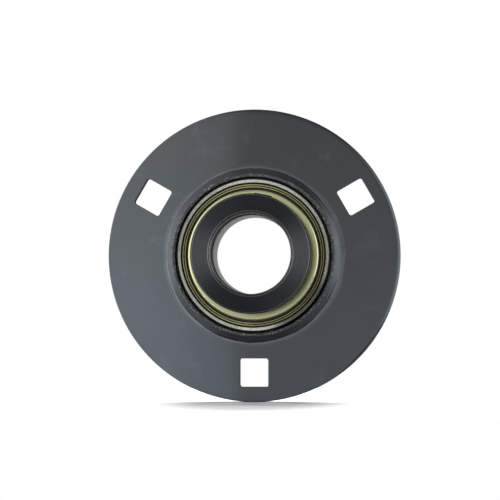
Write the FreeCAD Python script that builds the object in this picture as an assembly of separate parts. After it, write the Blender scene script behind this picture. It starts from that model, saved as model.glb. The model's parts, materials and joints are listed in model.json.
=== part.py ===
import FreeCAD, Part
import math
import os

Vector = FreeCAD.Vector

# Sizes are in millimetres and degrees. Each piece is drawn with the shaft axis along +Z, the
# collar towards +Z and +Y up, and is stood up at the end so that the collar faces -Y and +Z is up.

# Housing: two like stampings, back to back on the plane through the bearing's centre
flange_diameter = 113.0
sheet_thickness = 2.6
bend_radius = 0.8            # inside radius of the bend between the flat and the seat
lip_height = 8.7             # from the joint plane to the rim's outer corner, before its rounding
rim_break = 0.3              # rounding of the sheared edges
rim_roll = 1.6               # rounding of the rim's outer edge, drawn over by the press
bolt_edge = 11.25            # from the middle of a bolt hole to the edge of the flange
bolt_circle_diameter = flange_diameter - 2 * bolt_edge
bolt_hole_side = 11.0
bolt_hole_corner = 0.9
bolt_count = 3
first_bolt_angle = 270.0

# Rings
shaft_diameter = 30.0
insert_diameter = 62.0       # spherical outside of the outer ring
outer_ring_width = 16.0
ring_corner = 1.3            # chamfer between the spherical outside and the end face
ring_face = 1.05             # flat end face between the corner and the seal recess
groove_ratio = 0.52          # groove radius over ball diameter
groove_depth = 1.8
bore_chamfer = 0.8
shoulder_chamfer = 0.5
rear_land = 0.72             # inner ring beyond the rear slinger
front_land = 2.22            # inner ring between the front slinger and the cam

# Balls and ribbon cage
ball_diameter = 9.525
ball_count = 9
first_ball_angle = 90.0
cage_sheet = 0.7
cage_width = 3.6
rivet_diameter = 1.5
rivet_head_diameter = 2.6
rivet_head_height = 0.55

# Seals and slingers
seal_thickness = 0.8
seal_groove_depth = 0.5
seal_lip = 0.9               # length of the tapered lip
plate_sheet = 0.4            # steel plate on the outer face of the seal
plate_land = 0.2             # plate inside the inner bead
bead_radius = 0.4            # two round beads stand on the plate
bead_wall = 0.35
bead_inset = 0.52            # from the seal recess to the outer bead
slinger_sheet = 0.6
slinger_depth = 1.25
slinger_bend = 0.3           # inside radius of the slinger's bends

# Eccentric lock
eccentricity = 0.9
cam_angle = 200.0            # side on which the cam stands furthest out
cam_wall = 2.1               # thinnest wall of the cam
cam_length = 4.3
collar_wall = 3.3            # thinnest wall around the cam recess
collar_width = 15.9
collar_mouth = 1.2           # rounding at the mouth of the collar's bore
collar_edge = 0.7            # rounding of the collar's outer edges
screw_diameter = 8.0
screw_angle = 79.0
screw_proud = 0.6            # how far the screw stands out of the collar
screw_setback = 1.75         # from the collar's bore to the screw's tip
screw_chamfer = 0.6
socket_width = 4.0           # across the flats of the hexagon
socket_depth = 2.6
cup_diameter = 4.0
cup_depth = 1.0
drift_diameter = 6.0
drift_depth = 3.2
drift_offset = 120.0         # from the set screw to the drift hole, around the collar
drill_point = 118.0

# Clearances
seat_clearance = 0.03        # outer ring in the pressed seat, radial
ball_clearance = 0.02        # ball to each groove
cage_clearance = 0.12        # ball to its pocket
seal_gap = 0.3               # cage to seal
lip_clearance = 0.05         # seal lip to inner ring
slinger_gap = 0.35           # seal to the end of the slinger's skirt
slinger_side_gap = 0.55      # slinger's skirt to the plate's inner bead
collar_gap = 0.3             # collar to the shoulder and the end of the inner ring
cam_clearance = 0.4          # cam to its recess, radial
collar_clearance = 0.1       # collar to shaft, radial
thread_clearance = 0.05      # set screw to its hole, radial
cut_margin = 1.0             # how far a cutting tool stands past what it cuts

# Radii worked out from the sizes above
bore_radius = shaft_diameter / 2
insert_radius = insert_diameter / 2
ball_radius = ball_diameter / 2
pitch_radius = (bore_radius + insert_radius) / 2
groove_radius = groove_ratio * ball_diameter
inner_groove_floor = pitch_radius - ball_radius - ball_clearance
outer_groove_floor = pitch_radius + ball_radius + ball_clearance
inner_shoulder = inner_groove_floor + groove_depth
outer_shoulder = outer_groove_floor - groove_depth
ring_half = outer_ring_width / 2
corner_height = ring_half - ring_corner
corner_radius = math.sqrt(insert_radius ** 2 - corner_height ** 2) - ring_corner
recess_radius = corner_radius - ring_face
bead_outside = recess_radius - bead_inset
bead_inside = bead_outside - 4 * bead_radius
plate_inside = bead_inside - plate_land
slinger_radius = bead_inside - slinger_side_gap
cam_radius = bore_radius + eccentricity + cam_wall
cam_recess = cam_radius + cam_clearance
collar_bore = bore_radius + collar_clearance
collar_radius = cam_recess + eccentricity + collar_wall

# Heights above the bearing's centre, from the balls outwards
cage_top = ball_radius + cage_clearance + cage_sheet
seal_back = cage_top + seal_gap
seal_front = seal_back + seal_thickness
plate_back = seal_front - plate_sheet
skirt_end = seal_front + slinger_gap
slinger_front = skirt_end + slinger_depth
plain_end = slinger_front + rear_land
shoulder_end = slinger_front + front_land
cam_end = shoulder_end + cam_length
collar_back = shoulder_end + collar_gap
recess_floor = cam_end + collar_gap
collar_front = collar_back + collar_width
screw_height = (recess_floor + collar_front) / 2

axis = Vector(0, 0, 1)
centre = Vector(0, 0, 0)


def at(radius, height):
    return Vector(radius, 0, height)


def polar(radius, angle):
    """Point of a half section on a circle about the bearing's centre, with the angle in radians."""
    return at(radius * math.cos(angle), radius * math.sin(angle))


def around(radius, angle, height=0.0):
    """Point around the shaft axis, with the angle in degrees."""
    turn = math.radians(angle)
    return Vector(radius * math.cos(turn), radius * math.sin(turn), height)


class Section:
    """Half section of a round piece: straight runs and arcs in radius and height."""

    def __init__(self, start):
        self.start = start
        self.end = start
        self.edges = []

    def line(self, end):
        self.edges.append(Part.LineSegment(self.end, end).toShape())
        self.end = end
        return self

    def arc(self, middle, end):
        """The shorter arc about the given middle."""
        reach = (self.end - middle).Length
        toward = (self.end - middle) + (end - middle).normalize() * reach
        self.edges.append(Part.Arc(self.end, middle + toward.normalize() * reach, end).toShape())
        self.end = end
        return self

    def rounded(self, corner, target, radius):
        """A run to a corner and round it, on the way to the target."""
        back = (self.end - corner).normalize()
        ahead = (target - corner).normalize()
        half_angle = back.getAngle(ahead) / 2
        reach = radius / math.tan(half_angle)
        middle = corner + (back + ahead).normalize() * (radius / math.sin(half_angle))
        return self.line(corner + back * reach).arc(middle, corner + ahead * reach)

    def turned(self):
        """The solid that the closed section makes around the shaft axis."""
        self.line(self.start)
        return solid_of(self.edges)

    def turned_both_sides(self):
        """As turned, for a section drawn in front of the middle plane only, with its ends on it."""
        mirrored = [edge.mirror(centre, axis) for edge in self.edges]
        return solid_of(Part.sortEdges(self.edges + mirrored)[0]).removeSplitter()


def solid_of(edges):
    solid = Part.Solid(Part.Face(Part.Wire(edges)).revolve(centre, axis, 360))
    if solid.Volume < 0:
        solid.reverse()
    return solid


def turned_over(shape, angle=90.0):
    """A copy turned half a turn about a line through the centre, across the shaft axis."""
    copy = shape.copy()
    copy.rotate(centre, around(1, angle), 180)
    return copy


def square_hole(angle):
    inner_side = bolt_circle_diameter / 2 - bolt_hole_side / 2
    start = Vector(inner_side, -bolt_hole_side / 2, -cut_margin)
    tool = Part.makeBox(bolt_hole_side, bolt_hole_side, sheet_thickness + 2 * cut_margin, start)
    uprights = [edge for edge in tool.Edges if abs(edge.tangentAt(edge.FirstParameter).z) > 0.5]
    tool = tool.makeFillet(bolt_hole_corner, uprights)
    tool.rotate(centre, axis, angle)
    return tool


def flange_half():
    """One stamping: flat flange, bend, spherical seat and sheared rim, all of one sheet."""
    seat = insert_radius + seat_clearance
    outside = seat + sheet_thickness
    edge = flange_diameter / 2
    bend_height = sheet_thickness + bend_radius
    bend_angle = math.asin(bend_height / (outside + bend_radius))
    bend_middle = polar(outside + bend_radius, bend_angle)
    rim_angle = math.asin(lip_height / outside)
    outer_break = rim_angle - math.asin(rim_roll / (outside - rim_roll))
    inner_break = rim_angle - math.asin(rim_break / (seat + rim_break))
    rim_outside = polar(math.sqrt((outside - rim_roll) ** 2 - rim_roll ** 2), rim_angle)
    rim_inside = polar(math.sqrt((seat + rim_break) ** 2 - rim_break ** 2), rim_angle)

    section = Section(at(bend_middle.x, 0))
    section.rounded(at(edge, 0), at(edge, sheet_thickness), rim_break)
    section.rounded(at(edge, sheet_thickness), at(bend_middle.x, sheet_thickness), rim_break)
    section.line(at(bend_middle.x, sheet_thickness))
    section.arc(bend_middle, polar(outside, bend_angle))
    section.arc(centre, polar(outside, outer_break))
    section.arc(polar(outside - rim_roll, outer_break), rim_outside)
    section.line(rim_inside)
    section.arc(polar(seat + rim_break, inner_break), polar(seat, inner_break))
    section.arc(centre, polar(seat, bend_angle))
    section.arc(bend_middle, section.start)
    half = solid_of(section.edges)
    for bolt in range(bolt_count):
        half = half.cut(square_hole(first_bolt_angle + 360 / bolt_count * bolt))
    return half


def outer_ring():
    """Spherical outside, deep groove, and a seal recess with its groove at each side."""
    seal_groove = recess_radius + seal_groove_depth
    race_middle = at(outer_groove_floor - groove_radius, 0)
    race_edge = math.sqrt(groove_radius ** 2 - (outer_shoulder - race_middle.x) ** 2)
    section = Section(at(insert_radius, 0))
    section.arc(centre, at(corner_radius + ring_corner, corner_height))
    section.line(at(corner_radius, ring_half))
    section.line(at(recess_radius, ring_half))
    section.line(at(recess_radius, seal_front))
    section.line(at(seal_groove, seal_front))
    section.line(at(seal_groove, seal_back))
    section.line(at(outer_shoulder, seal_back))
    section.line(at(outer_shoulder, race_edge))
    section.arc(race_middle, at(outer_groove_floor, 0))
    return section.turned_both_sides()


def inner_ring():
    """Ground ring with a deep groove, a bore and an eccentric cam at its front end."""
    race_middle = at(inner_groove_floor + groove_radius, 0)
    race_edge = math.sqrt(groove_radius ** 2 - (race_middle.x - inner_shoulder) ** 2)
    body = Section(at(0, -plain_end))
    body.line(at(inner_shoulder - shoulder_chamfer, -plain_end))
    body.line(at(inner_shoulder, shoulder_chamfer - plain_end))
    body.line(at(inner_shoulder, -race_edge))
    body.arc(race_middle, at(inner_shoulder, race_edge))
    body.line(at(inner_shoulder, shoulder_end - shoulder_chamfer))
    body.line(at(inner_shoulder - shoulder_chamfer, shoulder_end))
    body.line(at(0, shoulder_end))

    cam = Section(at(0, shoulder_end))
    cam.line(at(cam_radius, shoulder_end))
    cam.line(at(cam_radius, cam_end - shoulder_chamfer))
    cam.line(at(cam_radius - shoulder_chamfer, cam_end))
    cam.line(at(0, cam_end))
    eccentric = cam.turned()
    eccentric.translate(around(eccentricity, cam_angle))

    mouth = bore_radius + bore_chamfer + cut_margin
    bore = Section(at(0, -plain_end - cut_margin))
    bore.line(at(mouth, -plain_end - cut_margin))
    bore.line(at(bore_radius, bore_chamfer - plain_end))
    bore.line(at(bore_radius, cam_end - bore_chamfer))
    bore.line(at(mouth, cam_end + cut_margin))
    bore.line(at(0, cam_end + cut_margin))
    return body.turned().fuse(eccentric).cut(bore.turned()).removeSplitter()


def ball_places():
    return [around(pitch_radius, first_ball_angle + 360 / ball_count * ball) for ball in range(ball_count)]


def rivet_places():
    half_step = 180 / ball_count
    turn = FreeCAD.Rotation(axis, half_step)
    return [turn.multVec(place) for place in ball_places()]


def ball(place):
    return Part.makeSphere(ball_radius, place)


def cage_half():
    """Ribbon pressed into a round pocket over each ball, flat between the pockets."""
    pocket_inside = ball_radius + cage_clearance
    inside = pitch_radius - cage_width / 2
    outside = pitch_radius + cage_width / 2
    strip = Section(at(inside, 0))
    strip.line(at(outside, 0))
    strip.line(at(outside, cage_sheet))
    strip.line(at(inside, cage_sheet))
    tube = Section(at(inside, 0))
    tube.line(at(outside, 0))
    tube.line(at(outside, cage_top + cut_margin))
    tube.line(at(inside, cage_top + cut_margin))
    domes = [Part.makeSphere(pocket_inside + cage_sheet, place) for place in ball_places()]
    hollows = [Part.makeSphere(pocket_inside, place) for place in ball_places()]
    holes = [Part.makeCylinder(rivet_diameter / 2, 2 * cage_sheet, place) for place in rivet_places()]
    pockets = tube.turned().common(Part.makeCompound(domes))
    return strip.turned().fuse(pockets.Solids).cut(hollows + holes).removeSplitter()


def rivet(place):
    """Shank through both cage halves with a domed head at each end."""
    head_radius = rivet_head_diameter / 2
    dome = (head_radius ** 2 + rivet_head_height ** 2) / (2 * rivet_head_height)
    top = cage_sheet + rivet_head_height
    section = Section(at(rivet_diameter / 2, 0))
    section.line(at(rivet_diameter / 2, cage_sheet))
    section.line(at(head_radius, cage_sheet))
    section.arc(at(0, top - dome), at(0, top))
    section.line(at(0, 0))
    solid = section.turned()
    solid = solid.fuse(solid.mirror(centre, axis)).removeSplitter()
    solid.translate(place)
    return solid.Solids[0]


def seal_plate():
    """Steel plate held in the ring's groove, with two round beads on its face."""
    foot = recess_radius + seal_groove_depth
    bead_height = seal_front + bead_wall
    section = Section(at(foot, plate_back))
    section.line(at(foot, seal_front))
    section.line(at(bead_outside, seal_front))
    section.line(at(bead_outside, bead_height))
    for bead in range(2):
        middle = at(bead_outside - (2 * bead + 1) * bead_radius, bead_height)
        section.arc(middle, middle + at(0, bead_radius))
        section.arc(middle, middle - at(bead_radius, 0))
    section.line(at(bead_inside, seal_front))
    section.line(at(plate_inside, seal_front))
    section.line(at(plate_inside, plate_back))
    return section.turned()


def seal():
    """Rubber moulded to the back of its plate, with a tapered lip on the inner ring."""
    foot = recess_radius + seal_groove_depth
    lip_root = inner_shoulder + seal_lip
    section = Section(at(foot, seal_back))
    section.line(at(foot, plate_back))
    section.line(at(plate_inside, plate_back))
    section.line(at(plate_inside, seal_front))
    section.line(at(lip_root, seal_front))
    section.line(at(inner_shoulder + lip_clearance, (seal_front + seal_back) / 2))
    section.line(at(lip_root, seal_back))
    return section.turned()


def slinger():
    """Pressed ring of one sheet: sleeve on the inner ring, flat face and a skirt over the seal."""
    outer_bend = slinger_bend + slinger_sheet
    inner_face = slinger_front - slinger_sheet
    sleeve = inner_shoulder + slinger_sheet
    skirt = slinger_radius - slinger_sheet
    section = Section(at(inner_shoulder, skirt_end))
    section.rounded(at(inner_shoulder, slinger_front), at(slinger_radius, slinger_front), outer_bend)
    section.rounded(at(slinger_radius, slinger_front), at(slinger_radius, skirt_end), outer_bend)
    section.line(at(slinger_radius, skirt_end))
    section.line(at(skirt, skirt_end))
    section.rounded(at(skirt, inner_face), at(sleeve, inner_face), slinger_bend)
    section.rounded(at(sleeve, inner_face), at(sleeve, skirt_end), slinger_bend)
    section.line(at(sleeve, skirt_end))
    return section.turned()


def outward(shape, angle, height):
    """A piece drawn along the shaft axis, laid along a radius of the collar."""
    turn = FreeCAD.Rotation(axis, around(1, angle))
    copy = shape.copy()
    copy.Placement = FreeCAD.Placement(Vector(0, 0, height), turn)
    return copy


def drift_hole():
    """Blind drilled hole for the drift that turns the collar."""
    radius = drift_diameter / 2
    floor = collar_radius - drift_depth
    tip = floor - radius / math.tan(math.radians(drill_point / 2))
    section = Section(at(0, tip))
    section.line(at(radius, floor))
    section.line(at(radius, collar_radius + cut_margin))
    section.line(at(0, collar_radius + cut_margin))
    return outward(section.turned(), screw_angle + drift_offset, screw_height)


def locking_collar():
    """Turned collar with an eccentric recess for the cam, a tapped hole and a drift hole."""
    section = Section(at(collar_bore, collar_back))
    section.rounded(at(collar_radius, collar_back), at(collar_radius, collar_front), collar_edge)
    section.rounded(at(collar_radius, collar_front), at(collar_bore, collar_front), collar_edge)
    section.rounded(at(collar_bore, collar_front), section.start, collar_mouth)
    recess_start = around(eccentricity, cam_angle, collar_back - cut_margin)
    recess = Part.makeCylinder(cam_recess, recess_floor - recess_start.z, recess_start)
    tapped = Part.makeCylinder(screw_diameter / 2, collar_radius + cut_margin)
    return section.turned().cut([recess, outward(tapped, screw_angle, screw_height), drift_hole()])


def set_screw():
    """Socket set screw with a cup point, drawn from tip to socket along a radius of the collar."""
    radius = screw_diameter / 2 - thread_clearance
    tip = collar_bore + screw_setback
    top = collar_radius + screw_proud
    section = Section(at(0, tip + cup_depth))
    section.line(at(cup_diameter / 2, tip))
    section.line(at(radius - screw_chamfer, tip))
    section.line(at(radius, tip + screw_chamfer))
    section.line(at(radius, top - screw_chamfer))
    section.line(at(radius - screw_chamfer, top))
    section.line(at(0, top))
    corner = socket_width / math.sqrt(3)
    corners = [around(corner, 60 * turn, top - socket_depth) for turn in range(7)]
    hexagon = Part.Face(Part.makePolygon(corners))
    socket = hexagon.extrude(axis * (socket_depth + cut_margin))
    return outward(section.turned().cut(socket), screw_angle, screw_height)


def pieces():
    front_flange = flange_half()
    front_plate = seal_plate()
    front_seal = seal()
    front_slinger = slinger()
    front_cage = cage_half()
    made = {
        "front_flange": front_flange,
        "rear_flange": turned_over(front_flange, first_bolt_angle),
        "outer_ring": outer_ring(),
        "inner_ring": inner_ring(),
        "cage_front_half": front_cage,
        "cage_rear_half": turned_over(front_cage, first_ball_angle),
        "cage_rivets": Part.makeCompound([rivet(place) for place in rivet_places()]),
        "front_seal_plate": front_plate,
        "rear_seal_plate": turned_over(front_plate),
        "front_seal": front_seal,
        "rear_seal": turned_over(front_seal),
        "front_slinger": front_slinger,
        "rear_slinger": turned_over(front_slinger),
        "locking_collar": locking_collar(),
        "set_screw": set_screw(),
    }
    for number, place in enumerate(ball_places(), start=1):
        made[f"ball_{number}"] = ball(place)
    return made


def main():
    os.makedirs("parts", exist_ok=True)
    for name, shape in pieces().items():
        shape.rotate(centre, Vector(1, 0, 0), 90)
        shape.exportStep(f"parts/{name}.step")


main()
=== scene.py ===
import bmesh
import bpy
import json
import math
from mathutils import Matrix, Vector


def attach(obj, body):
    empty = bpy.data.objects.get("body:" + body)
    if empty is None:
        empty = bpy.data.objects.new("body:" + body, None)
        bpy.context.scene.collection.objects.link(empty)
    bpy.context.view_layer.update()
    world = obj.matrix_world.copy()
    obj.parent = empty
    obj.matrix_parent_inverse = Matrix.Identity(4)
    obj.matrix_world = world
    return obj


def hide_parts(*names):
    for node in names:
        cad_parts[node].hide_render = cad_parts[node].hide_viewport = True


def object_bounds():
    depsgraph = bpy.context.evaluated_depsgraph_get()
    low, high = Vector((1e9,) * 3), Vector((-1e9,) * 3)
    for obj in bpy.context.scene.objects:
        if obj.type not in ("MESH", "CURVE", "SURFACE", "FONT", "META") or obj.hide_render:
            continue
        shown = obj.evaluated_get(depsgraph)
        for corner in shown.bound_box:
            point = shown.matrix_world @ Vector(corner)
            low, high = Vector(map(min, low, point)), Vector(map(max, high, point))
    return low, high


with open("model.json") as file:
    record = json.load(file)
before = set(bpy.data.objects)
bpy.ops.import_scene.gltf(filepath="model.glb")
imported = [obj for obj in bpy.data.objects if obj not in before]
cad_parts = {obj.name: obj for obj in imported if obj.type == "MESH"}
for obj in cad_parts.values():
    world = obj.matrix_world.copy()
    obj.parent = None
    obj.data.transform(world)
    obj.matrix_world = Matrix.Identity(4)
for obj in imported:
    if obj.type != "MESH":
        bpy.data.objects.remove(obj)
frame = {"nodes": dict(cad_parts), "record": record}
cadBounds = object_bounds()
mm = 0.001
noiseRange = (0.3, 0.7)   # where most of a noise pattern lies
print("frame loaded:", len(frame["nodes"]), "nodes")


# node helpers, kept short so that each finish reads as one recipe
def startMaterial(name, metallic=0.0):
    material = bpy.data.materials.new(name)
    material.use_nodes = True
    tree = material.node_tree
    tree.nodes.clear()
    shader = tree.nodes.new("ShaderNodeBsdfPrincipled")
    shader.inputs["Metallic"].default_value = metallic
    output = tree.nodes.new("ShaderNodeOutputMaterial")
    tree.links.new(shader.outputs["BSDF"], output.inputs["Surface"])
    return material, tree, shader


def feed(tree, socket, value):
    if isinstance(value, bpy.types.NodeSocket):
        tree.links.new(value, socket)
    elif socket.type == "RGBA" and len(value) == 3:
        socket.default_value = (*value, 1)
    else:
        socket.default_value = value


def calc(tree, operation, first, second=0.0):
    node = tree.nodes.new("ShaderNodeMath")
    node.operation = operation
    feed(tree, node.inputs[0], first)
    feed(tree, node.inputs[1], second)
    return node.outputs[0]


def times(tree, first, second):
    return calc(tree, "MULTIPLY", first, second)


def vectorCalc(tree, operation, first, second=None, scale=None):
    node = tree.nodes.new("ShaderNodeVectorMath")
    node.operation = operation
    feed(tree, node.inputs[0], first)
    if second is not None:
        feed(tree, node.inputs[1], second)
    if scale is not None:
        feed(tree, node.inputs["Scale"], scale)
    return node.outputs["Value" if operation in ("LENGTH", "DOT_PRODUCT") else "Vector"]


def fade(tree, value, start, end, low=0.0, high=1.0):
    node = tree.nodes.new("ShaderNodeMapRange")
    node.interpolation_type = "SMOOTHSTEP"
    settings = {"Value": value, "From Min": start, "From Max": end, "To Min": low, "To Max": high}
    for name, number in settings.items():
        feed(tree, node.inputs[name], number)
    return node.outputs["Result"]


# full on a line at the middle, fading out to both sides of it
def stripe(tree, value, middle, core, reach, level=1.0):
    away = calc(tree, "ABSOLUTE", calc(tree, "SUBTRACT", value, middle))
    return fade(tree, away, core, reach, level, 0.0)


def mixColour(tree, factor, first, second):
    node = tree.nodes.new("ShaderNodeMix")
    node.data_type = "RGBA"
    feed(tree, node.inputs["Factor"], factor)
    feed(tree, node.inputs["A"], first)
    feed(tree, node.inputs["B"], second)
    return node.outputs["Result"]


def mixValue(tree, factor, first, second):
    node = tree.nodes.new("ShaderNodeMix")
    feed(tree, node.inputs["Factor"], factor)
    feed(tree, node.inputs["A"], first)
    feed(tree, node.inputs["B"], second)
    return node.outputs["Result"]


# a pattern in a look is its scale, detail, roughness and distortion
def cloud(tree, place, scale, detail=3.0, roughness=0.55, distortion=0.0):
    node = tree.nodes.new("ShaderNodeTexNoise")
    settings = {"Scale": scale, "Detail": detail, "Roughness": roughness, "Distortion": distortion}
    feed(tree, node.inputs["Vector"], place)
    for name, number in settings.items():
        feed(tree, node.inputs[name], number)
    return node.outputs["Fac"]


def relief(tree, height, distance, normal=None):
    node = tree.nodes.new("ShaderNodeBump")
    feed(tree, node.inputs["Height"], height)
    feed(tree, node.inputs["Distance"], distance)
    feed(tree, node.inputs["Strength"], 1.0)
    if normal is not None:
        feed(tree, node.inputs["Normal"], normal)
    return node.outputs["Normal"]


# places on a round piece about the shaft: depth along it, height, radius, ways out and around
def roundPlaces(tree):
    place = tree.nodes.new("ShaderNodeTexCoord").outputs["Object"]
    split = tree.nodes.new("ShaderNodeSeparateXYZ")
    feed(tree, split.inputs[0], place)
    flat = vectorCalc(tree, "MULTIPLY", place, (1, 0, 1))
    outWay = vectorCalc(tree, "NORMALIZE", flat)
    return {
        "place": place,
        "depth": split.outputs["Y"],
        "height": split.outputs["Z"],
        "flat": flat,
        "radius": vectorCalc(tree, "LENGTH", flat),
        "outWay": outWay,
        "aroundWay": vectorCalc(tree, "CROSS_PRODUCT", outWay, (0, 1, 0)),
    }


def changeAxes(tree, vector, kind, start, end):
    node = tree.nodes.new("ShaderNodeVectorTransform")
    node.vector_type = kind
    node.convert_from = start
    node.convert_to = end
    feed(tree, node.inputs[0], vector)
    return node.outputs[0]


def toWorld(tree, vector):
    return changeAxes(tree, vector, "VECTOR", "OBJECT", "WORLD")


# how squarely a face looks along the shaft
def facing(tree):
    trueNormal = tree.nodes.new("ShaderNodeNewGeometry").outputs["True Normal"]
    split = tree.nodes.new("ShaderNodeSeparateXYZ")
    feed(tree, split.inputs[0], changeAxes(tree, trueNormal, "NORMAL", "WORLD", "OBJECT"))
    return split.outputs["Y"]


# a surface's normal, leaning by a vector given in the piece's own axes
def leaning(tree, vector):
    normal = tree.nodes.new("ShaderNodeNewGeometry").outputs["Normal"]
    return vectorCalc(tree, "NORMALIZE", vectorCalc(tree, "ADD", normal, toWorld(tree, vector)))


# a vector along the shaft, away from the joint plane of the two flange halves
def offJoint(tree, spots, length):
    node = tree.nodes.new("ShaderNodeCombineXYZ")
    feed(tree, node.inputs["Y"], times(tree, calc(tree, "SIGN", spots["depth"]), length))
    return node.outputs[0]


# marks of turning or drawing: fine in radius and depth, long around the shaft
def turnedMarks(tree, spots, acrossScale, aroundScale=1.5):
    across = tree.nodes.new("ShaderNodeCombineXYZ")
    feed(tree, across.inputs["X"], times(tree, spots["radius"], acrossScale))
    feed(tree, across.inputs["Y"], times(tree, spots["depth"], acrossScale))
    around = vectorCalc(tree, "SCALE", spots["outWay"], scale=aroundScale)
    return cloud(tree, vectorCalc(tree, "ADD", across.outputs[0], around), 1, 3, 0.6)


# painted highlight along the bend around the bulge
bendHighlightLook = {
    "colour": (0.195, 0.208, 0.218),
    "middle": 34.0 * mm,
    "wobble": 0.2 * mm,
    "wobblePattern": (60, 3, 0.6),
    "core": 0.1 * mm,
    "reach": 0.65 * mm,
    "second": 0.85,             # a second painted highlight line beside it, at the sides only
    "secondOut": 0.8 * mm,
    "secondReach": 0.55 * mm,
    "secondSides": (0.6, 0.9),
    "shoulder": 0.35,           # it fades slowly into the flat
    "shoulderStart": -0.2 * mm,
    "shoulderReach": 1.9 * mm,
    "unevenPattern": (150, 3, 0.6),
    "unevenRange": (0.3, 0.6),
    "weakestShare": 0.5,
    "flatten": 5.0,
}


def paintedBendHighlight(tree, spots):
    look = bendHighlightLook
    wobble = cloud(tree, spots["place"], *look["wobblePattern"])
    inside, outside = look["middle"] - look["wobble"], look["middle"] + look["wobble"]
    past = calc(tree, "SUBTRACT", spots["radius"], fade(tree, wobble, *noiseRange, inside, outside))
    first = stripe(tree, past, 0.0, look["core"], look["reach"])
    second = stripe(tree, past, look["secondOut"], look["core"], look["secondReach"], look["second"])
    sideways = calc(tree, "ABSOLUTE", vectorCalc(tree, "DOT_PRODUCT", spots["outWay"], (1, 0, 0)))
    second = times(tree, second, fade(tree, sideways, *look["secondSides"]))
    shoulder = fade(tree, past, 0.0, look["shoulderReach"], look["shoulder"], 0.0)
    shoulder = times(tree, shoulder, fade(tree, past, look["shoulderStart"], 0.0))
    marks = calc(tree, "MAXIMUM", first, calc(tree, "MAXIMUM", second, shoulder))
    highlightUnevenness = cloud(tree, spots["place"], *look["unevenPattern"])
    return times(tree, marks, fade(tree, highlightUnevenness, *look["unevenRange"], look["weakestShare"], 1.0))


# the sheet's outer edge: shear marks across it, and the face beside it drawn down, most on one side
edgeLook = {
    "colour": (0.34, 0.35, 0.36),
    "start": 56.15 * mm,
    "end": 56.5 * mm,
    "markStretch": (1, 0.12, 1),
    "markPattern": (800, 3, 0.6),
    "markRange": (0.35, 0.65),
    "markLevels": (0.15, 0.6),
    "dieRoll": 0.85,
    "dieRollStart": 53.9 * mm,
    "dieRollPower": 3.0,
    "dieRollSide": (0.87, 0.0, 0.5),
    "dieRollRange": (0.0, 0.5),
}


def edgeMarks(tree, spots):
    look = edgeLook
    edge = fade(tree, spots["radius"], look["start"], look["end"])
    across = vectorCalc(tree, "MULTIPLY", spots["place"], look["markStretch"])
    marks = cloud(tree, across, *look["markPattern"])
    return times(tree, edge, fade(tree, marks, *look["markRange"], *look["markLevels"]))


def edgeLean(tree, spots):
    look = edgeLook
    drawn = calc(tree, "MAXIMUM", calc(tree, "SUBTRACT", spots["radius"], look["dieRollStart"]), 0.0)
    drawn = calc(tree, "DIVIDE", drawn, look["end"] - look["dieRollStart"])
    drawn = calc(tree, "POWER", drawn, look["dieRollPower"])
    oneSide = vectorCalc(tree, "DOT_PRODUCT", spots["outWay"], look["dieRollSide"])
    drawn = times(tree, drawn, fade(tree, oneSide, *look["dieRollRange"], 0.0, look["dieRoll"]))
    return vectorCalc(tree, "SCALE", spots["outWay"], scale=drawn)


# the sheared rim around the insert is torn and bright
rimLook = {
    "colour": (0.105, 0.106, 0.106),
    "tornColour": (0.62, 0.62, 0.60),
    "roughness": 0.5,
    "inside": 30.0 * mm,
    "outside": 30.8 * mm,
    "outsideFade": 0.4 * mm,
    "front": 7.6 * mm,
    "sharpness": 0.15 * mm,
    "raggedPattern": (520, 3, 0.6),
    "ragged": (-0.5 * mm, 0.8 * mm),
    "tornPattern": (1900, 4, 0.7),
    "tornRange": (0.52, 0.64),
    "tornRelief": 6.0,
    "patchPattern": (110, 3, 0.6),
    "patchRange": (0.42, 0.62),
    "leastPatch": 0.6,
}


def tornRim(tree, spots):
    look = rimLook
    inner = fade(tree, spots["radius"], look["inside"], look["inside"] + look["sharpness"])
    ragged = fade(tree, cloud(tree, spots["place"], *look["raggedPattern"]), *noiseRange, *look["ragged"])
    reach = calc(tree, "SUBTRACT", spots["radius"], ragged)
    outer = fade(tree, reach, look["outside"], look["outside"] + look["outsideFade"], 1.0, 0.0)
    offMiddle = calc(tree, "ABSOLUTE", spots["depth"])
    front = fade(tree, offMiddle, look["front"], look["front"] + look["sharpness"])
    rim = times(tree, times(tree, inner, outer), front)
    torn = cloud(tree, spots["place"], *look["tornPattern"])
    patch = fade(tree, cloud(tree, spots["place"], *look["patchPattern"]), *look["patchRange"])
    patch = fade(tree, patch, 0.0, 1.0, look["leastPatch"], 1.0)
    speck = times(tree, fade(tree, torn, *look["tornRange"]), patch)
    return rim, torn, mixColour(tree, speck, look["colour"], look["tornColour"])


# painted shade on the punched walls of the bolt holes, which are also rough
holeWallShadeLook = {
    "colour": (0.03, 0.032, 0.035),
    "roughness": 0.85,
    "wallRange": (0.2, 0.5),
    "insideFade": (37.5 * mm, 38.0 * mm),
    "outsideFade": (55.8 * mm, 56.0 * mm),
}


def punchedWalls(tree, spots):
    look = holeWallShadeLook
    walls = fade(tree, calc(tree, "ABSOLUTE", facing(tree)), *look["wallRange"], 1.0, 0.0)
    walls = times(tree, walls, fade(tree, spots["radius"], *look["outsideFade"], 1.0, 0.0))
    return times(tree, walls, fade(tree, spots["radius"], *look["insideFade"]))


# the press rounded the wall of the bulge over and rolled the edge of its rim outwards
bulgeLook = {
    "roughness": 0.3,
    "wallFade": (32.0 * mm, 32.6 * mm),
    "endFade": (33.2 * mm, 33.6 * mm),
    "flatten": 1.0,
    "rollLean": 0.5,
    "rollStartFade": (30.8 * mm, 31.2 * mm),
    "rollEndFade": (31.8 * mm, 32.6 * mm),
}


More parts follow.
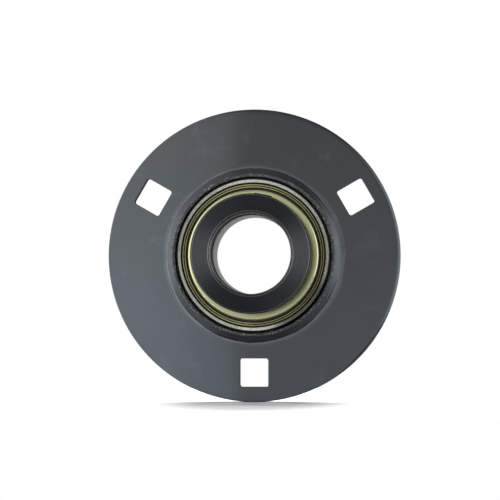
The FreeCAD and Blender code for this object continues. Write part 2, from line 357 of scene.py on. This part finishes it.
def bulgeLean(tree, spots, onBulge, bendHighlightMask):
    look = bulgeLook
    wall = times(tree, onBulge, fade(tree, spots["radius"], *look["wallFade"]))
    wall = times(tree, wall, look["flatten"])
    rounded = offJoint(tree, spots, calc(tree, "MAXIMUM", wall, times(tree, bendHighlightMask, bendHighlightLook["flatten"])))
    onRoll = fade(tree, spots["radius"], *look["rollStartFade"])
    onRoll = times(tree, onRoll, fade(tree, spots["radius"], *look["rollEndFade"], 1.0, 0.0))
    rolled = vectorCalc(tree, "SCALE", spots["outWay"], scale=times(tree, onRoll, look["rollLean"]))
    return vectorCalc(tree, "ADD", rounded, rolled)


# pressed sheet of the two flange halves
pressedLook = {
    "colour": (0.113, 0.124, 0.138),
    "upperShadeColour": (0.101, 0.108, 0.110),   # painted shade: darker and less blue towards the top
    "upperFade": (-30 * mm, 45 * mm),
    "smudge": 0.75,
    "smudgeColour": (0.150, 0.160, 0.172),
    "smudgePattern": (75, 5, 0.62, 0.6),
    "smudgeRange": (0.54, 0.74),
    "smudgeRoughness": 0.05,
    "scale": 0.4,                           # thin mill scale in broad clouds
    "scaleColour": (0.09, 0.10, 0.115),
    "scalePattern": (38, 4, 0.6),
    "scaleRoughness": 0.03,
    "roughness": 0.08,
    "crown": (1.6, 0, -0.42),   # how fast the flat leans away from the middle, radians per metre
    "crownFade": (34.1 * mm, 34.6 * mm),
    "grain": 0.05,
    "grainPattern": (2600, 2, 0.6),
    "scratch": -0.06,
    "scratchStretch": (420, 420, 5200),
    "scratchPattern": (1, 2, 0.5),
    "scratchRange": (0.64, 0.74),
    "relief": 0.02 * mm,
}


def sheetHeight(tree, spots, rim, torn):
    look = pressedLook
    grain = cloud(tree, spots["place"], *look["grainPattern"])
    stretched = vectorCalc(tree, "MULTIPLY", spots["place"], look["scratchStretch"])
    scratch = fade(tree, cloud(tree, stretched, *look["scratchPattern"]), *look["scratchRange"])
    height = calc(tree, "ADD", times(tree, grain, look["grain"]), times(tree, scratch, look["scratch"]))
    return calc(tree, "ADD", height, times(tree, times(tree, torn, rim), rimLook["tornRelief"]))


def makePressedSteel():
    look = pressedLook
    material, tree, shader = startMaterial("pressedSteel", metallic=1.0)
    spots = roundPlaces(tree)
    scale = cloud(tree, spots["place"], *look["scalePattern"])
    smudge = fade(tree, cloud(tree, spots["place"], *look["smudgePattern"]), *look["smudgeRange"])
    bendHighlightMask = paintedBendHighlight(tree, spots)
    onBulge = fade(tree, spots["radius"], *bulgeLook["endFade"], 1.0, 0.0)
    rim, torn, rimColour = tornRim(tree, spots)
    walls = punchedWalls(tree, spots)

    # painted shade: the sheet darker and less blue towards the top
    upper = fade(tree, spots["height"], *look["upperFade"])
    shade = mixColour(tree, upper, look["colour"], look["upperShadeColour"])
    shade = mixColour(tree, times(tree, smudge, look["smudge"]), shade, look["smudgeColour"])
    shade = mixColour(tree, fade(tree, scale, *noiseRange, 0.0, look["scale"]), shade, look["scaleColour"])
    # painted highlight along the bend, brighter than the sheet
    shade = mixColour(tree, bendHighlightMask, shade, bendHighlightLook["colour"])
    shade = mixColour(tree, edgeMarks(tree, spots), shade, edgeLook["colour"])
    shade = mixColour(tree, rim, shade, rimColour)
    # painted shade on the walls of the bolt holes
    feed(tree, shader.inputs["Base Color"], mixColour(tree, walls, shade, holeWallShadeLook["colour"]))

    rough = calc(tree, "ADD", look["roughness"], times(tree, smudge, look["smudgeRoughness"]))
    rough = calc(tree, "ADD", rough, fade(tree, scale, *noiseRange, 0.0, look["scaleRoughness"]))
    rough = mixValue(tree, onBulge, rough, bulgeLook["roughness"])
    rough = mixValue(tree, rim, rough, rimLook["roughness"])
    feed(tree, shader.inputs["Roughness"], mixValue(tree, walls, rough, holeWallShadeLook["roughness"]))

    onFlat = fade(tree, spots["radius"], *look["crownFade"])
    lean = vectorCalc(tree, "SCALE", vectorCalc(tree, "MULTIPLY", spots["flat"], look["crown"]), scale=onFlat)
    lean = vectorCalc(tree, "ADD", lean, bulgeLean(tree, spots, onBulge, bendHighlightMask))
    lean = vectorCalc(tree, "ADD", lean, edgeLean(tree, spots))
    height = sheetHeight(tree, spots, rim, torn)
    feed(tree, shader.inputs["Normal"], relief(tree, height, look["relief"], leaning(tree, lean)))
    return material


# ground rings, with the marks of the wheel around them
groundLook = {
    "colour": (0.64, 0.64, 0.575),
    "mark": 0.3,
    "markColour": (0.40, 0.40, 0.365),
    "markScale": 9000,
    "stain": 0.4,
    "stainColour": (0.33, 0.32, 0.29),
    "stainPattern": (180, 4, 0.6),
    "stainRange": (0.5, 0.72),
    "outerFade": (26.0 * mm, 27.0 * mm),   # flecks and the dark patch are on the outer ring
    "fleck": 0.6,
    "fleckColour": (0.33, 0.32, 0.30),
    "fleckPattern": (1300, 3, 0.65),
    "fleckRange": (0.47, 0.60),
    "darkPatch": 0.85,
    "darkPatchWay": (0.70, 0, -0.71),   # a darker patch towards the lower right of the end face
    "darkPatchRange": (0.84, 0.96),
    "darkPatchColour": (0.11, 0.108, 0.09),
    "roughness": (0.42, 0.52),
    "anisotropic": 0.9,
    # painted shade: the bore is darker than the faces
    "paintedBoreColour": (0.40, 0.40, 0.395),
    "boreRoughness": 0.8,
    "boreFade": (15.1 * mm, 15.5 * mm),
    "relief": 0.002 * mm,
}


def makeGroundSteel():
    look = groundLook
    material, tree, shader = startMaterial("groundSteel", metallic=1.0)
    spots = roundPlaces(tree)
    marks = turnedMarks(tree, spots, look["markScale"])
    stain = fade(tree, cloud(tree, spots["place"], *look["stainPattern"]), *look["stainRange"])
    fleck = cloud(tree, spots["place"], *look["fleckPattern"])
    fleck = fade(tree, fleck, *look["fleckRange"], 0.0, look["fleck"])
    darkPatch = vectorCalc(tree, "DOT_PRODUCT", spots["outWay"], look["darkPatchWay"])
    darkPatch = fade(tree, darkPatch, *look["darkPatchRange"], 0.0, look["darkPatch"])
    onOuter = fade(tree, spots["radius"], *look["outerFade"])
    inBore = fade(tree, spots["radius"], *look["boreFade"], 1.0, 0.0)

    marked = fade(tree, marks, *noiseRange, 0.0, look["mark"])
    shade = mixColour(tree, marked, look["colour"], look["markColour"])
    shade = mixColour(tree, times(tree, stain, look["stain"]), shade, look["stainColour"])
    shade = mixColour(tree, times(tree, fleck, onOuter), shade, look["fleckColour"])
    # darker towards the lower right of the outer ring's end face
    shade = mixColour(tree, times(tree, darkPatch, onOuter), shade, look["darkPatchColour"])
    # painted shade: darker inside the bore
    feed(tree, shader.inputs["Base Color"], mixColour(tree, inBore, shade, look["paintedBoreColour"]))
    rough = fade(tree, marks, *noiseRange, *look["roughness"])
    feed(tree, shader.inputs["Roughness"], mixValue(tree, inBore, rough, look["boreRoughness"]))
    shader.inputs["Anisotropic"].default_value = look["anisotropic"]
    feed(tree, shader.inputs["Tangent"], toWorld(tree, spots["aroundWay"]))
    feed(tree, shader.inputs["Normal"], relief(tree, marks, look["relief"]))
    return material


# polished balls under a thin film of grease
ballLook = {
    "colour": (0.72, 0.72, 0.73),
    "film": 0.3,
    "filmColour": (0.58, 0.56, 0.50),
    "filmPattern": (420, 4, 0.6),
    "filmRange": (0.45, 0.75),
    "filmRoughness": 0.12,
    "roughness": 0.06,
    "relief": 0.001 * mm,
}


def makeBallSteel():
    look = ballLook
    material, tree, shader = startMaterial("ballSteel", metallic=1.0)
    spots = roundPlaces(tree)
    film = fade(tree, cloud(tree, spots["place"], *look["filmPattern"]), *look["filmRange"])
    shade = mixColour(tree, times(tree, film, look["film"]), look["colour"], look["filmColour"])
    feed(tree, shader.inputs["Base Color"], shade)
    rough = calc(tree, "ADD", look["roughness"], times(tree, film, look["filmRoughness"]))
    feed(tree, shader.inputs["Roughness"], rough)
    feed(tree, shader.inputs["Normal"], relief(tree, film, look["relief"]))
    return material


# rolled strip of the cage and its rivets
cageLook = {
    "colour": (0.42, 0.41, 0.39),
    "tone": 0.4,
    "toneColour": (0.27, 0.26, 0.24),
    "tonePattern": (300, 4),
    "toneRange": (0.35, 0.7),
    "markScale": 5000,
    "roughness": (0.32, 0.46),
    "relief": 0.004 * mm,
}


def makeCageSteel():
    look = cageLook
    material, tree, shader = startMaterial("cageSteel", metallic=1.0)
    spots = roundPlaces(tree)
    marks = turnedMarks(tree, spots, look["markScale"])
    tone = fade(tree, cloud(tree, spots["place"], *look["tonePattern"]), *look["toneRange"])
    shade = mixColour(tree, times(tree, tone, look["tone"]), look["colour"], look["toneColour"])
    feed(tree, shader.inputs["Base Color"], shade)
    feed(tree, shader.inputs["Roughness"], fade(tree, marks, *noiseRange, *look["roughness"]))
    feed(tree, shader.inputs["Normal"], relief(tree, marks, look["relief"]))
    return material


# moulded rubber of the seals
rubberLook = {
    "colour": (0.016, 0.016, 0.015),
    "mould": 0.35,
    "mouldColour": (0.03, 0.03, 0.028),
    "mouldScale": 4000,
    "dust": 0.15,
    "dustColour": (0.12, 0.12, 0.11),
    "dustPattern": (700, 4, 0.65),
    "dustRange": (0.5, 0.75),
    "dustRoughness": 0.2,
    "roughness": 0.42,
    "relief": 0.004 * mm,
}


def makeSealRubber():
    look = rubberLook
    material, tree, shader = startMaterial("sealRubber")
    spots = roundPlaces(tree)
    mould = turnedMarks(tree, spots, look["mouldScale"])
    dust = fade(tree, cloud(tree, spots["place"], *look["dustPattern"]), *look["dustRange"])
    moulded = fade(tree, mould, *noiseRange, 0.0, look["mould"])
    shade = mixColour(tree, moulded, look["colour"], look["mouldColour"])
    shade = mixColour(tree, times(tree, dust, look["dust"]), shade, look["dustColour"])
    feed(tree, shader.inputs["Base Color"], shade)
    rough = calc(tree, "ADD", look["roughness"], times(tree, dust, look["dustRoughness"]))
    feed(tree, shader.inputs["Roughness"], rough)
    feed(tree, shader.inputs["Normal"], relief(tree, mould, look["relief"]))
    return material


# olive-passivated plates of the seals, with painted shade in the grooves beside their two beads
plateLook = {
    "colour": (0.56, 0.55, 0.30),
    "mark": 0.4,
    "markColour": (0.20, 0.195, 0.11),
    "markScale": 5000,
    "grooveShadeColour": (0.026, 0.025, 0.010),
    "beadMiddles": (26.20 * mm, 27.00 * mm),
    "crestReach": 0.13 * mm,
    "grooveReach": 0.29 * mm,
    "flatten": 2.0,   # how much the crests are rubbed flat
    "roughness": (0.49, 0.61),
    "anisotropic": 1.0,
    "relief": 0.003 * mm,
}


def makeOlivePassivate():
    look = plateLook
    material, tree, shader = startMaterial("olivePassivate", metallic=1.0)
    spots = roundPlaces(tree)
    marks = turnedMarks(tree, spots, look["markScale"])
    offBeads = [calc(tree, "SUBTRACT", spots["radius"], middle) for middle in look["beadMiddles"]]
    offBead = calc(tree, "MINIMUM", *[calc(tree, "ABSOLUTE", off) for off in offBeads])
    grooveShade = fade(tree, offBead, look["crestReach"], look["grooveReach"])
    marked = fade(tree, marks, *noiseRange, 0.0, look["mark"])
    shade = mixColour(tree, marked, look["colour"], look["markColour"])
    # painted shade in the grooves beside the beads
    feed(tree, shader.inputs["Base Color"], mixColour(tree, grooveShade, shade, look["grooveShadeColour"]))
    feed(tree, shader.inputs["Roughness"], fade(tree, marks, *noiseRange, *look["roughness"]))
    shader.inputs["Anisotropic"].default_value = look["anisotropic"]
    feed(tree, shader.inputs["Tangent"], toWorld(tree, spots["aroundWay"]))
    normal = leaning(tree, offJoint(tree, spots, look["flatten"]))
    feed(tree, shader.inputs["Normal"], relief(tree, marks, look["relief"], normal))
    return material


# yellow-passivated zinc on the slingers
passivateLook = {
    "colour": (0.67, 0.685, 0.40),
    "colourShare": 0.6,
    "greenColour": (0.59, 0.64, 0.39),
    "goldColour": (0.72, 0.70, 0.38),
    "driftPattern": (90, 3, 0.55),
    "driftRange": (0.35, 0.65),
    "mark": 0.25,
    "markColour": (0.33, 0.34, 0.17),
    "markScale": 6500,
    "markRange": (0.35, 0.7),
    "roughness": (0.11, 0.20),
    "dish": -0.016,   # how far its face leans in, as a slope
    "relief": 0.002 * mm,
}


def makeYellowPassivate():
    look = passivateLook
    material, tree, shader = startMaterial("yellowPassivate", metallic=1.0)
    spots = roundPlaces(tree)
    drift = fade(tree, cloud(tree, spots["place"], *look["driftPattern"]), *look["driftRange"])
    marks = turnedMarks(tree, spots, look["markScale"])
    shade = mixColour(tree, drift, look["greenColour"], look["goldColour"])
    shade = mixColour(tree, look["colourShare"], shade, look["colour"])
    marked = fade(tree, marks, *look["markRange"], 0.0, look["mark"])
    shade = mixColour(tree, marked, shade, look["markColour"])
    feed(tree, shader.inputs["Base Color"], shade)
    feed(tree, shader.inputs["Roughness"], fade(tree, marks, *noiseRange, *look["roughness"]))
    normal = leaning(tree, vectorCalc(tree, "SCALE", spots["outWay"], scale=look["dish"]))
    feed(tree, shader.inputs["Normal"], relief(tree, marks, look["relief"], normal))
    return material


# blackened, oiled collar and screw with the marks of the lathe
blackLook = {
    "colour": (0.050, 0.0525, 0.055),
    "mark": 0.25,
    "markColour": (0.026, 0.027, 0.032),
    "markScale": 5200,
    "oil": 0.3,
    "oilColour": (0.050, 0.047, 0.058),
    "oilPattern": (130, 4, 0.6),
    "oilRange": (0.42, 0.7),
    "edgeTint": (0.4, 0.4, 0.4),
    "roughness": (0.25, 0.36),
    "frontFade": (-25.5 * mm, -25.4 * mm),   # the collar's front face lies before this depth
    # painted highlight on the lip, painted shade in the mouth, painted highlight lines on the face's edges
    "lipHighlightColour": (0.60, 0.60, 0.59),
    "lipFade": (15.4 * mm, 15.5 * mm),
    "mouthShadeColour": (0.040, 0.040, 0.041),
    "mouthFade": (15.75 * mm, 15.95 * mm),
    "edgeHighlightColour": (0.160, 0.162, 0.163),
    "edgeHighlightLines": ((16.05 * mm, 0.30 * mm), (22.15 * mm, 0.16 * mm)),   # radius and reach of each
    "edgeHighlightCore": 0.05 * mm,
    "paintedBoreColour": (0.12, 0.12, 0.12),
    "boreRoughness": 0.8,
    "groovePitch": 0.12 * mm,   # the feed of the lathe left fine grooves around every turned face
    "grooveSlope": 0.65,
    "grooveFlank": 0.35,
    "relief": 0.002 * mm,
}


def latheGrooves(tree, spots):
    look = blackLook
    along = calc(tree, "ADD", spots["radius"], spots["depth"])
    wave = calc(tree, "SINE", times(tree, along, 2 * math.pi / look["groovePitch"]))
    flank, slope = look["grooveFlank"], look["grooveSlope"]
    return fade(tree, wave, -flank, flank, -slope, slope)


def makeBlackOxide():
    look = blackLook
    material, tree, shader = startMaterial("blackOxide", metallic=1.0)
    spots = roundPlaces(tree)
    marks = turnedMarks(tree, spots, look["markScale"])
    oil = fade(tree, cloud(tree, spots["place"], *look["oilPattern"]), *look["oilRange"])
    onFront = fade(tree, spots["depth"], *look["frontFade"], 1.0, 0.0)
    inMouth = fade(tree, spots["radius"], *look["mouthFade"], 1.0, 0.0)
    onLip = fade(tree, spots["radius"], *look["lipFade"], 1.0, 0.0)
    frontLip = times(tree, onLip, onFront)
    inBore = calc(tree, "SUBTRACT", onLip, frontLip)
    core = look["edgeHighlightCore"]
    lines = [stripe(tree, spots["radius"], middle, core, reach) for middle, reach in look["edgeHighlightLines"]]
    edgeHighlights = times(tree, calc(tree, "MAXIMUM", *lines), onFront)

    # painted highlights on the edges of the front face and the lip of the bore, painted shade in the mouth
    # between them
    marked = fade(tree, marks, *noiseRange, 0.0, look["mark"])
    shade = mixColour(tree, marked, look["colour"], look["markColour"])
    shade = mixColour(tree, times(tree, oil, look["oil"]), shade, look["oilColour"])
    shade = mixColour(tree, times(tree, inMouth, onFront), shade, look["mouthShadeColour"])
    shade = mixColour(tree, frontLip, shade, look["lipHighlightColour"])
    shade = mixColour(tree, edgeHighlights, shade, look["edgeHighlightColour"])
    # painted light: the bore wall is lighter than the black oxide
    feed(tree, shader.inputs["Base Color"], mixColour(tree, inBore, shade, look["paintedBoreColour"]))
    feed(tree, shader.inputs["Specular Tint"], look["edgeTint"])
    rough = fade(tree, marks, *noiseRange, *look["roughness"])
    feed(tree, shader.inputs["Roughness"], mixValue(tree, inBore, rough, look["boreRoughness"]))
    grooves = times(tree, latheGrooves(tree, spots), calc(tree, "SUBTRACT", 1.0, inMouth))
    normal = leaning(tree, vectorCalc(tree, "SCALE", spots["outWay"], scale=grooves))
    feed(tree, shader.inputs["Normal"], relief(tree, marks, look["relief"], normal))
    return material


finishes = {
    "pressed_steel": makePressedSteel(),
    "ground_steel": makeGroundSteel(),
    "ball_steel": makeBallSteel(),
    "cage_steel": makeCageSteel(),
    "seal_rubber": makeSealRubber(),
    "olive_passivate": makeOlivePassivate(),
    "yellow_passivate": makeYellowPassivate(),
    "black_oxide": makeBlackOxide(),
}
for row in frame["record"]["subparts"]:
    node = frame["nodes"][row["node"]]
    node.data.materials.clear()
    node.data.materials.append(finishes[row["material_slot"]])


# set screw with its real thread, in place of the plain cylinder
screwLook = {
    "pitch": 1.25 * mm,
    "threadDepth": 0.70 * mm,
    "flankSlope": 1.3,
    "crestFlat": 0.1,
    "chamfer": 0.6 * mm,
    "endLoss": 0.35 * mm,   # its outer end is dressed back a little
    "radius": 3.95 * mm,
    "socketWidth": 4.0 * mm,
    "socketDepth": 2.6 * mm,
    "cupRadius": 2.0 * mm,
    "cupDepth": 1.0 * mm,
    "steps": 72,
    "rowsPerTurn": 12,
    "sharpAngle": 35,
    "closeness": 0.01 * mm,
    "mergeReach": 0.001 * mm,
}


def screwRadius(look, angle, height, tip, top):
    turn = height / look["pitch"] - angle / (2 * math.pi)
    wave = abs(2 * (turn - math.floor(turn)) - 1)
    cut = min(max(look["flankSlope"] * wave - look["crestFlat"], 0), 1)
    thread = look["radius"] - look["threadDepth"] * cut
    return min(thread, look["radius"] - look["chamfer"] + min(height - tip, top - height))


def socketRadius(look, angle):
    side = math.pi / 3
    return look["socketWidth"] / 2 / math.cos((angle + side / 2) % side - side / 2)


def spinScrew(look, tip, top):
    rows = round((top - tip) / look["pitch"] * look["rowsPerTurn"])
    socketHalf, socketFloor = look["socketWidth"] / 2, top - look["socketDepth"]
    profile = [(0, tip + look["cupDepth"]), (look["cupRadius"], tip)]
    profile += [(look["radius"], tip + (top - tip) * row / rows) for row in range(rows + 1)]
    profile += [(socketHalf, top), (socketHalf, socketFloor), (0, socketFloor - look["cupDepth"])]
    mesh = bmesh.new()
    points = [mesh.verts.new((radius, 0, height)) for radius, height in profile]
    edges = [mesh.edges.new(pair) for pair in zip(points, points[1:])]
    bmesh.ops.spin(mesh, geom=points + edges, cent=(0, 0, 0), axis=(0, 0, 1), angle=2 * math.pi,
                   steps=look["steps"], use_merge=True)
    bmesh.ops.remove_doubles(mesh, verts=mesh.verts, dist=look["mergeReach"])
    return mesh


def cutScrew(look, mesh, tip, top):
    for point in mesh.verts:
        radius = math.hypot(point.co.x, point.co.y)
        angle = math.atan2(point.co.y, point.co.x)
        if abs(radius - look["radius"]) < look["closeness"]:
            reach = screwRadius(look, angle, point.co.z, tip, top)
        elif point.co.z > tip + look["cupDepth"] and radius > look["closeness"]:
            reach = socketRadius(look, angle)
        else:
            continue
        point.co.x, point.co.y = reach * math.cos(angle), reach * math.sin(angle)
    bmesh.ops.recalc_face_normals(mesh, faces=mesh.faces)


def makeSetScrew():
    look = screwLook
    plain = frame["nodes"]["set_screw"]
    joints = frame["record"]["behaviour"]["joints"]
    travel = next(joint for joint in joints if joint["name"] == "set_screw_travel")
    outWay = Vector(travel["axis"])
    corners = [plain.matrix_world @ vertex.co for vertex in plain.data.vertices]
    heights = [corner.dot(outWay) for corner in corners]
    depth = (min(corner.y for corner in corners) + max(corner.y for corner in corners)) / 2
    tip, top = min(heights), max(heights) - look["endLoss"]

    mesh = spinScrew(look, tip, top)
    cutScrew(look, mesh, tip, top)
    turn = outWay.to_track_quat("Z", "Y").to_matrix().to_4x4()
    bmesh.ops.transform(mesh, matrix=Matrix.Translation((0, depth, 0)) @ turn, verts=mesh.verts)
    data = bpy.data.meshes.new("threadedScrew")
    mesh.to_mesh(data)
    mesh.free()
    data.polygons.foreach_set("use_smooth", [True] * len(data.polygons))
    data.set_sharp_from_angle(angle=math.radians(look["sharpAngle"]))
    screw = bpy.data.objects.new("threadedScrew", data)
    bpy.context.scene.collection.objects.link(screw)
    data.materials.append(finishes["black_oxide"])
    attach(screw, "set_screw")
    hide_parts("set_screw")
    print("set screw:", len(data.polygons), "faces, from", round(tip / mm, 2), "to", round(top / mm, 2), "mm")


makeSetScrew()


# the floor under the part
floorLook = {
    "reach": 0.15,
    "segments": 96,
    "colour": (0.90, 0.90, 0.90),
    "tone": 0.1,
    "toneColour": (0.86, 0.86, 0.86),
    "tonePattern": (3, 2),
    "mirrorShadeColour": (0.37, 0.37, 0.37),   # painted reflection: what the steel sees of it, darker than the floor
    "mirrorShadeRightColour": (0.22, 0.22, 0.22),
    "rightFade": (5 * mm, 40 * mm),
    "roughness": 0.9,
}


def makeFloor():
    look = floorLook
    mesh = bmesh.new()
    bmesh.ops.create_circle(mesh, cap_ends=True, segments=look["segments"], radius=look["reach"])
    bmesh.ops.translate(mesh, verts=mesh.verts, vec=(0, 0, cadBounds[0][2]))
    data = bpy.data.meshes.new("floor")
    mesh.to_mesh(data)
    mesh.free()
    floor = bpy.data.objects.new("floor", data)
    bpy.context.scene.collection.objects.link(floor)
    material, tree, shader = startMaterial("paleFloor")
    place = tree.nodes.new("ShaderNodeTexCoord").outputs["Object"]
    tone = fade(tree, cloud(tree, place, *look["tonePattern"]), *noiseRange, 0.0, look["tone"])
    shade = mixColour(tree, tone, look["colour"], look["toneColour"])
    split = tree.nodes.new("ShaderNodeSeparateXYZ")
    feed(tree, split.inputs[0], place)
    # painted reflection: the floor is darker as seen in the steel, darker still towards the right
    toRight = fade(tree, split.outputs["X"], *look["rightFade"])
    paintedMirrorShade = mixColour(tree, toRight, look["mirrorShadeColour"], look["mirrorShadeRightColour"])
    mirrored = tree.nodes.new("ShaderNodeLightPath").outputs["Is Glossy Ray"]
    feed(tree, shader.inputs["Base Color"], mixColour(tree, mirrored, shade, paintedMirrorShade))
    shader.inputs["Roughness"].default_value = look["roughness"]
    shader.inputs["Specular IOR Level"].default_value = 0.0
    data.materials.append(material)


# the room that the steel mirrors, by the way it is seen in: x to the right, y to the back, z up
studioLook = {
    "tint": (0.97, 0.985, 1.0),
    "rightLevel": 0.65,
    "leftLevel": 1.04,
    "stepAt": -0.092,
    "stepWidth": 0.012,
    "farLeftLevel": 1.36,
    "farLeftAt": -0.30,
    "upperLoss": 0.25,
    "upperFade": (-0.05, 0.15),
    "leftSideLevel": 1.6,
    "rightSideLevel": 1.45,
    "acrossFade": (-0.3, 0.3),
    "sideFade": (0.35, 0.75),
    "topLeftLevel": 0.75,
    "topLevel": 0.34,
    "topRightLevel": 0.17,
    "topFade": (0.25, 0.75),
    "lowLeftLevel": 0.45,
    "lowLevel": 0.54,
    "lowRightLevel": 0.26,
    "lowFade": (-0.15, -0.5),
    "leftFade": (-0.55, -0.1),
    "rightFade": (0.1, 0.5),
    "backLevel": 0.7,
    "backFade": (0.3, 0.8),
}


def studioLevel(tree):
    look = studioLook
    split = tree.nodes.new("ShaderNodeSeparateXYZ")
    feed(tree, split.inputs[0], tree.nodes.new("ShaderNodeTexCoord").outputs["Generated"])
    x, y, z = split.outputs
    stepStart, stepEnd = look["stepAt"] - look["stepWidth"] / 2, look["stepAt"] + look["stepWidth"] / 2
    front = fade(tree, x, stepStart, stepEnd, look["leftLevel"], look["rightLevel"])
    farLeft = fade(tree, x, look["farLeftAt"], look["stepAt"], look["farLeftLevel"] - look["leftLevel"], 0.0)
    front = calc(tree, "ADD", front, farLeft)
    front = times(tree, front, fade(tree, z, *look["upperFade"], 1.0, 1.0 - look["upperLoss"]))
    side = fade(tree, x, *look["acrossFade"], look["leftSideLevel"], look["rightSideLevel"])
    level = mixValue(tree, fade(tree, calc(tree, "ABSOLUTE", x), *look["sideFade"]), front, side)
    for name in ("top", "low"):
        middle = look[name + "Level"]
        far = fade(tree, x, *look["leftFade"], look[name + "LeftLevel"], middle)
        toRight = fade(tree, x, *look["rightFade"], 0.0, look[name + "RightLevel"] - middle)
        far = calc(tree, "ADD", far, toRight)
        level = mixValue(tree, fade(tree, z, *look[name + "Fade"]), level, far)
    return mixValue(tree, fade(tree, y, *look["backFade"]), level, look["backLevel"])


def makeStudio():
    world = bpy.data.worlds.new("studio")
    bpy.context.scene.world = world
    world.use_nodes = True
    tree = world.node_tree
    tree.nodes.clear()
    room = tree.nodes.new("ShaderNodeBackground")
    feed(tree, room.inputs["Color"], studioLook["tint"])
    feed(tree, room.inputs["Strength"], studioLevel(tree))
    white = tree.nodes.new("ShaderNodeBackground")
    feed(tree, white.inputs["Color"], (1, 1, 1))
    feed(tree, white.inputs["Strength"], 1.0)
    rays = tree.nodes.new("ShaderNodeLightPath").outputs
    mix = tree.nodes.new("ShaderNodeMixShader")
    feed(tree, mix.inputs["Fac"], calc(tree, "MAXIMUM", rays["Is Camera Ray"], rays["Is Transmission Ray"]))
    tree.links.new(room.outputs[0], mix.inputs[1])
    tree.links.new(white.outputs[0], mix.inputs[2])
    output = tree.nodes.new("ShaderNodeOutputWorld")
    tree.links.new(mix.outputs[0], output.inputs["Surface"])


def aimFrom(place, target):
    return (Vector(target) - Vector(place)).to_track_quat("-Z", "Y").to_euler()


# lamps behind and above, for the shadow on the floor
lampLook = {
    "sideLamps": {"places": ((-0.88, 1.38, 1.15), (0.88, 1.38, 1.15)), "size": (0.53, 1.07), "power": 38.0},
    "topLamp": {"places": ((0.0, 0.2, 2.0),), "size": (0.9, 0.4), "power": 11.0},
}


def makeLamps():
    for name, look in lampLook.items():
        for place in look["places"]:
            lamp = bpy.data.lights.new(name, "AREA")
            lamp.shape = "RECTANGLE"
            lamp.size, lamp.size_y = look["size"]
            lamp.energy = look["power"]
            holder = bpy.data.objects.new(name, lamp)
            holder.location = place
            holder.rotation_euler = aimFrom(place, (0, 0, 0))
            holder.visible_glossy = False
            bpy.context.scene.collection.objects.link(holder)


cameraLook = {
    "azimuth": 3.4,
    "elevation": -1.7,
    "distance": 0.8,
    "lens": 149.26,
    "sensorWidth": 36,
    "target": (0, -2.6 * mm, 0),
    "shift": (-0.0080, 0.0108),
    "nearest": 0.01,
}


def makeCamera():
    look = cameraLook
    camera = bpy.data.cameras.new("camera")
    camera.lens = look["lens"]
    camera.sensor_width = look["sensorWidth"]
    camera.shift_x, camera.shift_y = look["shift"]
    camera.clip_start = look["nearest"]
    holder = bpy.data.objects.new("camera", camera)
    around, up = math.radians(look["azimuth"]), math.radians(look["elevation"])
    away = Vector((math.sin(around) * math.cos(up), -math.cos(around) * math.cos(up), math.sin(up)))
    holder.location = Vector(look["target"]) + away * look["distance"]
    holder.rotation_euler = aimFrom(holder.location, look["target"])
    bpy.context.scene.collection.objects.link(holder)
    bpy.context.scene.camera = holder


makeFloor()
makeStudio()
makeLamps()
makeCamera()
bpy.context.scene.view_settings.view_transform = "Standard"
print("studio ready")
